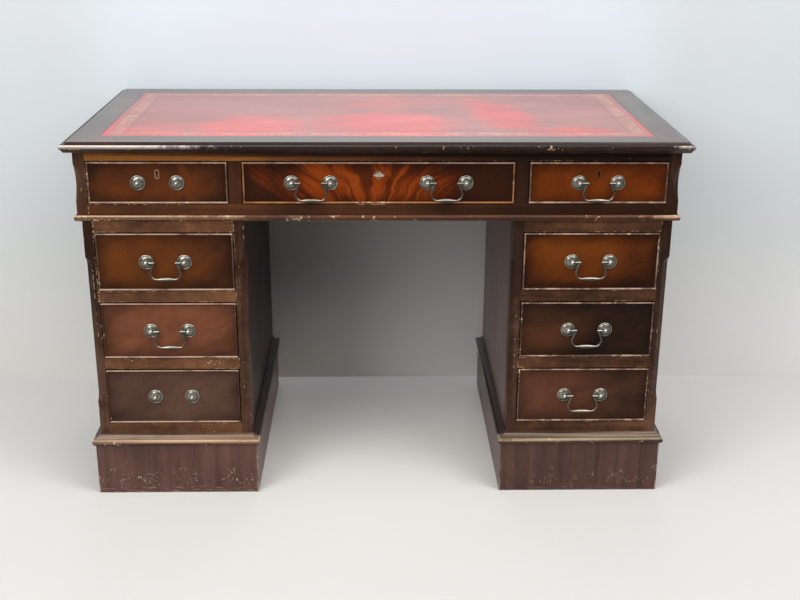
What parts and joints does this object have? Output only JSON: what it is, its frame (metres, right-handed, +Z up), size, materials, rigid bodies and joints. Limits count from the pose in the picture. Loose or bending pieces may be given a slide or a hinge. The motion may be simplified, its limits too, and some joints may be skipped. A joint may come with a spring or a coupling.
{
  "type": "pedestal writing desk",
  "caption": "Kneehole pedestal writing desk with a leather-inset moulded top, sliding drawers, hinged bail handles, a turning key and moulded plinths.",
  "frame": {"origin": "on the floor under the middle of the desk", "axes": "+X to the right as seen from the front, -Y out of the front where the drawers open, +Z up"},
  "size_m": [1.22, 0.61, 0.762],
  "materials": {
    "mahogany": "satin",
    "mahogany_veneer": "gloss",
    "drawer_lining": "matte",
    "red_leather": "satin",
    "antique_brass": "satin",
    "key_steel": "satin"
  },
  "bodies": {
    "desk_carcass": {"top_board": "mahogany", "writing_leather": "red_leather", "top_edge_moulding": "mahogany", "frieze_end_panels": "mahogany", "frieze_corner_posts": "mahogany", "frieze_rails": "mahogany", "frieze_partitions": "mahogany", "frieze_base_moulding": "mahogany", "back_panels": "mahogany", "pedestal_boards": "drawer_lining", "drawer_runners": "drawer_lining", "drawer_stops": "drawer_lining", "locating_pegs": "drawer_lining", "left_pedestal_sides": "mahogany", "left_pedestal_posts": "mahogany", "left_pedestal_rails": "mahogany", "left_plinth": "mahogany", "left_plinth_moulding": "mahogany", "right_pedestal_sides": "mahogany", "right_pedestal_posts": "mahogany", "right_pedestal_rails": "mahogany", "right_plinth": "mahogany", "right_plinth_moulding": "mahogany"},
    "frieze_left_drawer": {"frieze_left_drawer_front": "mahogany_veneer", "frieze_left_drawer_box": "drawer_lining", "frieze_left_brassware": "antique_brass"},
    "frieze_centre_drawer": {"frieze_centre_drawer_front": "mahogany_veneer", "frieze_centre_drawer_box": "drawer_lining", "frieze_centre_brassware": "antique_brass"},
    "frieze_centre_left_bail": {"frieze_centre_left_bail": "antique_brass"},
    "frieze_centre_right_bail": {"frieze_centre_right_bail": "antique_brass"},
    "frieze_right_drawer": {"frieze_right_drawer_front": "mahogany_veneer", "frieze_right_drawer_box": "drawer_lining", "frieze_right_brassware": "antique_brass"},
    "frieze_right_bail": {"frieze_right_bail": "antique_brass"},
    "left_upper_drawer": {"left_upper_drawer_front": "mahogany_veneer", "left_upper_drawer_box": "drawer_lining", "left_upper_brassware": "antique_brass"},
    "left_upper_bail": {"left_upper_bail": "antique_brass"},
    "right_upper_drawer": {"right_upper_drawer_front": "mahogany_veneer", "right_upper_drawer_box": "drawer_lining", "right_upper_brassware": "antique_brass"},
    "right_upper_bail": {"right_upper_bail": "antique_brass"},
    "left_middle_drawer": {"left_middle_drawer_front": "mahogany_veneer", "left_middle_drawer_box": "drawer_lining", "left_middle_brassware": "antique_brass"},
    "left_middle_bail": {"left_middle_bail": "antique_brass"},
    "right_middle_drawer": {"right_middle_drawer_front": "mahogany_veneer", "right_middle_drawer_box": "drawer_lining", "right_middle_brassware": "antique_brass"},
    "right_middle_bail": {"right_middle_bail": "antique_brass"},
    "left_lower_drawer": {"left_lower_drawer_front": "mahogany_veneer", "left_lower_drawer_box": "drawer_lining", "left_lower_brassware": "antique_brass"},
    "right_lower_drawer": {"right_lower_drawer_front": "mahogany_veneer", "right_lower_drawer_box": "drawer_lining", "right_lower_brassware": "antique_brass"},
    "right_lower_bail": {"right_lower_bail": "antique_brass"},
    "centre_key": {"centre_key": "key_steel"},
    "centre_lock_bolt": {"centre_lock_bolt": "antique_brass"}
  },
  "joints": [
    {"name": "frieze_left_drawer_slide", "type": "slide", "parent": "desk_carcass", "child": "frieze_left_drawer", "axis": [0, -1, 0], "range_m": [0, 0.36]},
    {"name": "frieze_centre_drawer_slide", "type": "slide", "parent": "desk_carcass", "child": "frieze_centre_drawer", "axis": [0, -1, 0], "range_m": [0, 0.36]},
    {"name": "frieze_centre_left_bail_hinge", "type": "hinge", "parent": "frieze_centre_drawer", "child": "frieze_centre_left_bail", "pos_m": [-0.133, -0.2825, 0.67725], "axis": [-1, 0, 0], "range_deg": [-7, 100]},
    {"name": "frieze_centre_right_bail_hinge", "type": "hinge", "parent": "frieze_centre_drawer", "child": "frieze_centre_right_bail", "pos_m": [0.133, -0.2825, 0.67725], "axis": [-1, 0, 0], "range_deg": [-7, 100]},
    {"name": "frieze_right_drawer_slide", "type": "slide", "parent": "desk_carcass", "child": "frieze_right_drawer", "axis": [0, -1, 0], "range_m": [0, 0.36]},
    {"name": "frieze_right_bail_hinge", "type": "hinge", "parent": "frieze_right_drawer", "child": "frieze_right_bail", "pos_m": [0.432, -0.2825, 0.67725], "axis": [-1, 0, 0], "range_deg": [-7, 100]},
    {"name": "left_upper_drawer_slide", "type": "slide", "parent": "desk_carcass", "child": "left_upper_drawer", "axis": [0, -1, 0], "range_m": [0, 0.36]},
    {"name": "left_upper_bail_hinge", "type": "hinge", "parent": "left_upper_drawer", "child": "left_upper_bail", "pos_m": [-0.4265, -0.2825, 0.5145], "axis": [-1, 0, 0], "range_deg": [-7, 100]},
    {"name": "right_upper_drawer_slide", "type": "slide", "parent": "desk_carcass", "child": "right_upper_drawer", "axis": [0, -1, 0], "range_m": [0, 0.36]},
    {"name": "right_upper_bail_hinge", "type": "hinge", "parent": "right_upper_drawer", "child": "right_upper_bail", "pos_m": [0.4265, -0.2825, 0.5145], "axis": [-1, 0, 0], "range_deg": [-7, 100]},
    {"name": "left_middle_drawer_slide", "type": "slide", "parent": "desk_carcass", "child": "left_middle_drawer", "axis": [0, -1, 0], "range_m": [0, 0.36]},
    {"name": "left_middle_bail_hinge", "type": "hinge", "parent": "left_middle_drawer", "child": "left_middle_bail", "pos_m": [-0.4265, -0.2825, 0.3675], "axis": [-1, 0, 0], "range_deg": [-7, 100]},
    {"name": "right_middle_drawer_slide", "type": "slide", "parent": "desk_carcass", "child": "right_middle_drawer", "axis": [0, -1, 0], "range_m": [0, 0.36]},
    {"name": "right_middle_bail_hinge", "type": "hinge", "parent": "right_middle_drawer", "child": "right_middle_bail", "pos_m": [0.4265, -0.2825, 0.3675], "axis": [-1, 0, 0], "range_deg": [-7, 100]},
    {"name": "left_lower_drawer_slide", "type": "slide", "parent": "desk_carcass", "child": "left_lower_drawer", "axis": [0, -1, 0], "range_m": [0, 0.36]},
    {"name": "right_lower_drawer_slide", "type": "slide", "parent": "desk_carcass", "child": "right_lower_drawer", "axis": [0, -1, 0], "range_m": [0, 0.36]},
    {"name": "right_lower_bail_hinge", "type": "hinge", "parent": "right_lower_drawer", "child": "right_lower_bail", "pos_m": [0.4265, -0.2825, 0.2205], "axis": [-1, 0, 0], "range_deg": [-7, 100]},
    {"name": "centre_key_turn", "type": "hinge", "parent": "frieze_centre_drawer", "child": "centre_key", "pos_m": [0, -0.273, 0.69775], "axis": [0, 1, 0], "range_deg": [0, 90]},
    {"name": "centre_bolt_slide", "type": "slide", "parent": "frieze_centre_drawer", "child": "centre_lock_bolt", "axis": [0, 0, 1], "range_m": [0, 0.006]}
  ],
  "couplings": [
    {"joint": "centre_key_turn", "follows": "centre_bolt_slide", "rad_per_m": 261.7}
  ]
}
